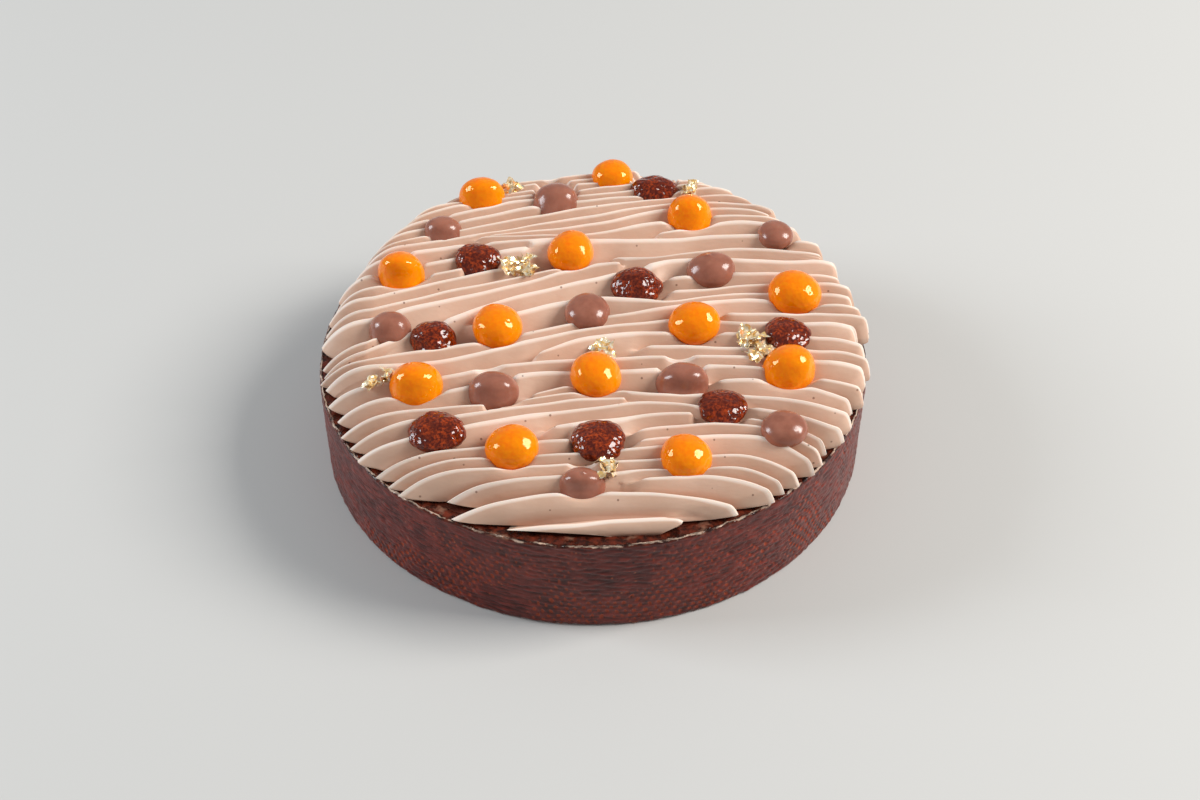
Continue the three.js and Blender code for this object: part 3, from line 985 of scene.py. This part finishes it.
choose(cream, "edges", border_edges(cream))
for inward, keep, down in LIP_STEPS:
    bpy.ops.mesh.extrude_edges_move()
    bpy.ops.object.mode_set(mode="OBJECT")
    shape = points_of(cream) / MM
    chosen = np.array([point.select for point in cream.data.vertices])
    reach = np.hypot(shape[:, 0], shape[:, 1])
    pull = np.where(chosen, 1 - inward / reach, 1.0)
    shape[:, 0] *= pull
    shape[:, 1] *= pull
    over = np.maximum(shape[:, 2] - RIM_LEVEL, 0)
    lowered = np.minimum(RIM_LEVEL + (over * keep - down), shape[:, 2])
    shape[:, 2] = np.where(chosen, lowered, shape[:, 2])
    set_points(cream, shape * MM)
    bpy.ops.object.mode_set(mode="EDIT")
bpy.ops.mesh.edge_face_add()
bpy.ops.mesh.select_all(action="SELECT")
bpy.ops.mesh.normals_make_consistent(inside=False)
bpy.ops.object.mode_set(mode="OBJECT")
bpy.ops.object.shade_smooth()
print("cream", triangles(cream), "triangles")

# %% [markdown]
# The cream is a pinkish beige with a satin surface, and a little light passes into it. The crest attribute
# paints a highlight along the thin edges and paints shade into the valleys, which makes them browner, and
# small dark dots are painted shade in a few tiny air holes on the faces.

# %% Cream finish
look = Finish("piped_cream")
crest = look.attribute("crest")
cloud = look.noise(14.0, 4.0)
body = look.blend(cloud, (0.35, 0.65), tone(213, 175, 151), tone(222, 186, 163))
# Painted shade: the valleys between the leaves are darkened and browned.
body = look.blend(crest, (0.45, 0.0), body, tone(172, 118, 93), 0.7)
# Painted highlight: a pale line along each thin crest.
body = look.blend(crest, (0.85, 0.94), body, tone(250, 234, 221), 0.85)
# Painted shade: small dark dots stand for the shade inside tiny air holes.
holes = look.cells(6.0)
body = look.blend(holes, (0.075, 0.05), body, tone(120, 78, 60), 0.75)
cream_bump = look.bump(look.noise(2.4, 5.0, 0.5, (0.45, 1.0, 1.0)), 0.14)
look.set(Base_Color=body, Roughness=0.5, Subsurface_Weight=0.12, Subsurface_Scale=0.001,
         Subsurface_Radius=(1.0, 0.55, 0.35), Normal=cream_bump)
finish_piece(cream, "piped_cream", look, "cream", "cream")
print(cream.name, triangles(cream), "triangles")

# %% [markdown]
# ## Drops
# The three kinds of drop have the same start: a ball that is flattened underneath and slightly uneven. Each
# kind is modelled once at unit size. A copy is then made for every drop, turned and fitted to its own place
# and width. Its foot is the side in front and below, and only that is pressed back and down.

# %% Helpers for drops
BALL_SEGMENTS = 56
BALL_RINGS = 36
BASE_FLAT = 0.35
OVAL = 0.045
DENT_SIZE = 0.9
LEAN = 0.07
FOOT_SIDE = (0.67, 0.74)
FOOT_PART = (-0.8, 0.2)
NUB_WIDTH = 0.010
NUBS = {"milk_chocolate_04": (0.13, -0.12, 0.15), "milk_chocolate_10": (0.17, 0.05, 0.12),
        "milk_chocolate_09": (0.05, -0.1, 0.1)}


def flatten_base(ball, base):
    """Flatten what lies below the base level of a unit ball."""
    choose(ball, "vertices", points_of(ball)[:, 2] < base)
    bpy.ops.transform.resize(value=(1, 1, BASE_FLAT), center_override=(0, 0, base))
    bpy.ops.object.mode_set(mode="OBJECT")


def rounded_ball(base):
    start_clean()
    bpy.ops.mesh.primitive_uv_sphere_add(segments=BALL_SEGMENTS, ring_count=BALL_RINGS, radius=1.0)
    ball = bpy.context.object
    flatten_base(ball, base)
    return ball


def displace(piece, kind, size, strength):
    texture = bpy.data.textures.new("relief", kind)
    texture.noise_scale = size
    change = piece.modifiers.new("relief", "DISPLACE")
    change.texture = texture
    change.strength = strength
    change.mid_level = 0.5
    bpy.context.view_layer.objects.active = piece
    bpy.ops.object.modifier_apply(modifier=change.name)


def uneven_drop(unit, node, turns, dent, fit):
    """Turn a unit drop, and give it dents, an oval outline, a lean and, for some, the point of the nozzle."""
    turn = turns.uniform(0, 2 * math.pi)
    oval = 1 + turns.uniform(-OVAL, OVAL)
    turned = np.stack([unit[:, 0] * math.cos(turn) - unit[:, 1] * math.sin(turn),
                       unit[:, 0] * math.sin(turn) + unit[:, 1] * math.cos(turn), unit[:, 2]], axis=1)
    dents = 1 + dent * rough(turned, DENT_SIZE, turns.uniform(0, 50))
    turned = turned * dents[:, None] * np.array([oval, 2 - oval, 1.0]) * np.array(fit)
    lean = turns.uniform(-LEAN, LEAN)
    turned[:, 0] += lean * turned[:, 2]
    turned[:, 2] *= 1 + lean * turned[:, 0]
    rise, nub_x, nub_y = NUBS.get(node, (0.0, 0.0, 0.0))
    near_pole = np.exp(-((turned[:, 0] - nub_x) ** 2 + (turned[:, 1] - nub_y) ** 2) / NUB_WIDTH)
    turned[:, 2] += rise * near_pole * (turned[:, 2] > 0)
    return turned


def place_drops(pattern, kind, finish, dent, seed, fit=(1.0, 1.0, 1.0)):
    turns = random.Random(seed)
    nodes = [node for node in drops if node.startswith(kind)]
    for node in nodes:
        middle, half_size, foot = drop_size(node)
        drop = pattern.copy()
        drop.data = pattern.data.copy()
        bpy.context.scene.collection.objects.link(drop)
        shape = uneven_drop(points_of(drop), node, turns, dent, fit)
        pressed = smooth_share(-FOOT_SIDE[0] * shape[:, 1] - FOOT_SIDE[1] * shape[:, 2], *FOOT_PART)
        set_points(drop, (shape * half_size + middle + pressed[:, None] * foot) * MM)
        finish_piece(drop, node + "_drop", finish, kind, node)
    start_clean()
    bpy.data.objects.remove(pattern, do_unlink=True)
    print(len(nodes), kind, "drops of", triangles(drop), "triangles")


print("helpers for drops are ready")

# %% [markdown]
# ### Fruit gel drops
# The gel is a vivid orange, glossy and a little grainy, and light goes into it. Faces that look to the
# right, where the stronger light is, are painted yellower, as painted light from that side. The gloss is
# tinted and its coat is thin, so that the pale surroundings don't wash out the orange.

# %% Fruit gel drops
gel_ball = rounded_ball(base=-0.55)
displace(gel_ball, "CLOUDS", size=0.8, strength=0.05)
bpy.ops.object.shade_smooth()
look = Finish("passion_fruit_gel")
pulp = look.noise(1.6, 5.0)
gel = look.blend(pulp, (0.35, 0.7), tone(250, 123, 0), tone(252, 141, 0))
# Painted light: faces that look to the right, towards the stronger light, are mixed yellower.
gel = look.blend(look.facing("X"), (-0.1, 0.9), gel, tone(252, 161, 0), 0.6)
skin = look.bump(look.cells(1.5), 0.1)
look.set(Base_Color=gel, Roughness=0.04, IOR=1.55, Normal=skin,
         Subsurface_Weight=0.2, Subsurface_Scale=0.002, Subsurface_Radius=(1.0, 0.3, 0.02),
         Specular_IOR_Level=0.5, Specular_Tint=tone(255, 206, 120),
         Coat_Weight=0.2, Coat_Roughness=0.015, Coat_IOR=1.6, Coat_Normal=skin)
place_drops(gel_ball, "fruit_gel", look, dent=0.035, seed=21, fit=(0.99, 0.99, 1.12))

# %% [markdown]
# ### Milk chocolate drops
# These were piped, so some keep a low point at the top where the nozzle left. The point is pulled up with
# the vertices near the pole, off centre. The surface is smooth and half glossy.

# %% Milk chocolate drops
chocolate_ball = rounded_ball(base=-0.5)
displace(chocolate_ball, "CLOUDS", size=0.9, strength=0.04)
bpy.ops.object.shade_smooth()
look = Finish("milk_chocolate")
milk = look.noise(5.0, 3.0)
chocolate = look.blend(milk, (0.35, 0.65), tone(146, 90, 72), tone(164, 105, 85))
look.set(Base_Color=chocolate, Roughness=0.19, Subsurface_Weight=0.1, Subsurface_Scale=0.002,
         Normal=look.bump(look.noise(3.0, 3.0), 0.12))
place_drops(chocolate_ball, "milk_chocolate", look, dent=0.03, seed=22)

# %% [markdown]
# ### Praline drops
# The praline is a dark, wet paste full of chopped nuts. The nuts push the surface out in small lumps, so
# the ball gets a cell texture as real relief, and the finish shows paler bits under a thick shine.

# %% Praline drops
start_clean()
bpy.ops.mesh.primitive_ico_sphere_add(subdivisions=5, radius=1.0)
praline_ball = bpy.context.object
flatten_base(praline_ball, base=-0.5)
displace(praline_ball, "VORONOI", size=0.3, strength=-0.045)
displace(praline_ball, "CLOUDS", size=0.55, strength=0.13)
bpy.ops.object.shade_smooth()
look = Finish("nut_praline")
bits = look.noise(0.9, 3.0, 0.6)
paste = look.blend(bits, (0.42, 0.66), tone(84, 19, 4), tone(172, 64, 14))
syrup = look.noise(3.0, 4.0)
paste = look.blend(syrup, (0.42, 0.62), paste, tone(78, 18, 5), 0.75)
wet = look.bump(look.cells(1.6), 0.32)
look.set(Base_Color=paste, Roughness=0.35, Specular_IOR_Level=0.0,
         Subsurface_Weight=0.15, Subsurface_Scale=0.002, Subsurface_Radius=(1.0, 0.4, 0.15),
         Coat_Weight=1.0, Coat_Roughness=0.03, Coat_Normal=wet)
place_drops(praline_ball, "praline", look, dent=0.09, seed=23, fit=(1.04, 1.04, 0.9))

# %% [markdown]
# ## Gold leaf
# Torn leaf was dropped on the cream in small heaps. Each scrap is a small grid, crumpled by a strong noise
# and turned at random. A cloth simulation could fold it too, but noise is quick and gives the same scraps
# in every run. The table gives each heap's place in mm, its spread and its number of scraps, and a scrap
# rests on the highest cream near it.

# %% Gold leaf scraps
GOLD_LEAF = (
    (-31, 76, 1.0, 2), (35, 75, 1.4, 3), (-24, 34, 1.2, 3), (-29, 29, 1.2, 3), (-23, 26, 1.2, 3),
    (4, -14.5, 2.0, 5), (52, -9.5, 2.4, 6), (55.5, -16.5, 2.4, 6), (-66, -28.5, 2.2, 6),
    (-71.5, -31.5, 0.6, 2), (4, -69, 2.2, 5),
)
SCRAP_POINTS = 8
SCRAP_WIDTH = (6.5, 10.0)
SCRAP_LENGTH = (0.5, 0.9)
TORN = 0.35
FOLDED = 0.7
CRUMPLE = (1.0, 1.0, 2.2)
TILT = 0.7
FULL_TURN = 6.3
SCRAP_LIFT = 0.5
NEAREST = 24


def cream_level(at_x, at_y):
    """The highest of the cream's points nearest to a place."""
    near = np.hypot(x - at_x, y - at_y)
    return float(z.ravel()[np.argsort(near, axis=None)[:NEAREST]].max())


scatter = random.Random(5)
scraps = []
for heap_x, heap_y, spread, count in GOLD_LEAF:
    for scrap in range(count):
        start_clean()
        bpy.ops.mesh.primitive_grid_add(x_subdivisions=SCRAP_POINTS, y_subdivisions=SCRAP_POINTS, size=1)
        leaf = bpy.context.object
        flat = points_of(leaf)
        width = scatter.uniform(*SCRAP_WIDTH)
        length = width * scatter.uniform(*SCRAP_LENGTH)
        seed = scatter.uniform(0, 90)
        torn = 1 + TORN * rough(flat, 0.35, seed + 9)
        flat = flat * torn[:, None] * np.array([width, length, 0])
        folds = (rough(flat, 3.2, seed), rough(flat, 3.2, seed + 20), rough(flat, 2.8, seed + 40))
        flat = flat * FOLDED + np.stack(folds, axis=1) * np.array(CRUMPLE)
        set_points(leaf, flat * MM)
        tilt = [scatter.uniform(-TILT, TILT) for axis in "xy"]
        leaf.rotation_euler = (*tilt, scatter.uniform(0, FULL_TURN))
        at_x = heap_x + scatter.gauss(0, spread * 0.5)
        at_y = heap_y + scatter.gauss(0, spread * 0.6)
        at_z = RIM_LEVEL + cream_level(at_x, at_y) + SCRAP_LIFT
        leaf.location = Vector((at_x, at_y, at_z)) * MM
        bpy.ops.object.transform_apply(location=True, rotation=True)
        scraps.append(leaf)
print(len(scraps), "scraps of gold leaf")

# %% [markdown]
# The scraps are joined, because they are one kind of thing, and get a hair of thickness. The finish is only
# half metallic, because a full metal would mirror the brown cream, and the real leaf looks pale and bright.

# %% Gold leaf finish
start_clean()
for leaf in scraps:
    leaf.select_set(True)
bpy.context.view_layer.objects.active = scraps[0]
bpy.ops.object.join()
gold = bpy.context.object
thick = gold.modifiers.new("hair", "SOLIDIFY")
thick.thickness = 0.05 * MM
bpy.ops.object.modifier_apply(modifier=thick.name)
bpy.ops.object.shade_smooth_by_angle(angle=math.radians(22))
look = Finish("gold_leaf")
gilt = look.noise(1.5, 3.0)
gilt = look.blend(gilt, (0.4, 0.6), tone(248, 204, 126), tone(255, 246, 222))
look.set(Base_Color=gilt, Metallic=0.5, Roughness=0.22, Normal=look.bump(look.noise(0.7, 3.0), 0.12))
finish_piece(gold, "gold_leaf_scraps", look, "gold_leaf")
print(gold.name, triangles(gold), "triangles")
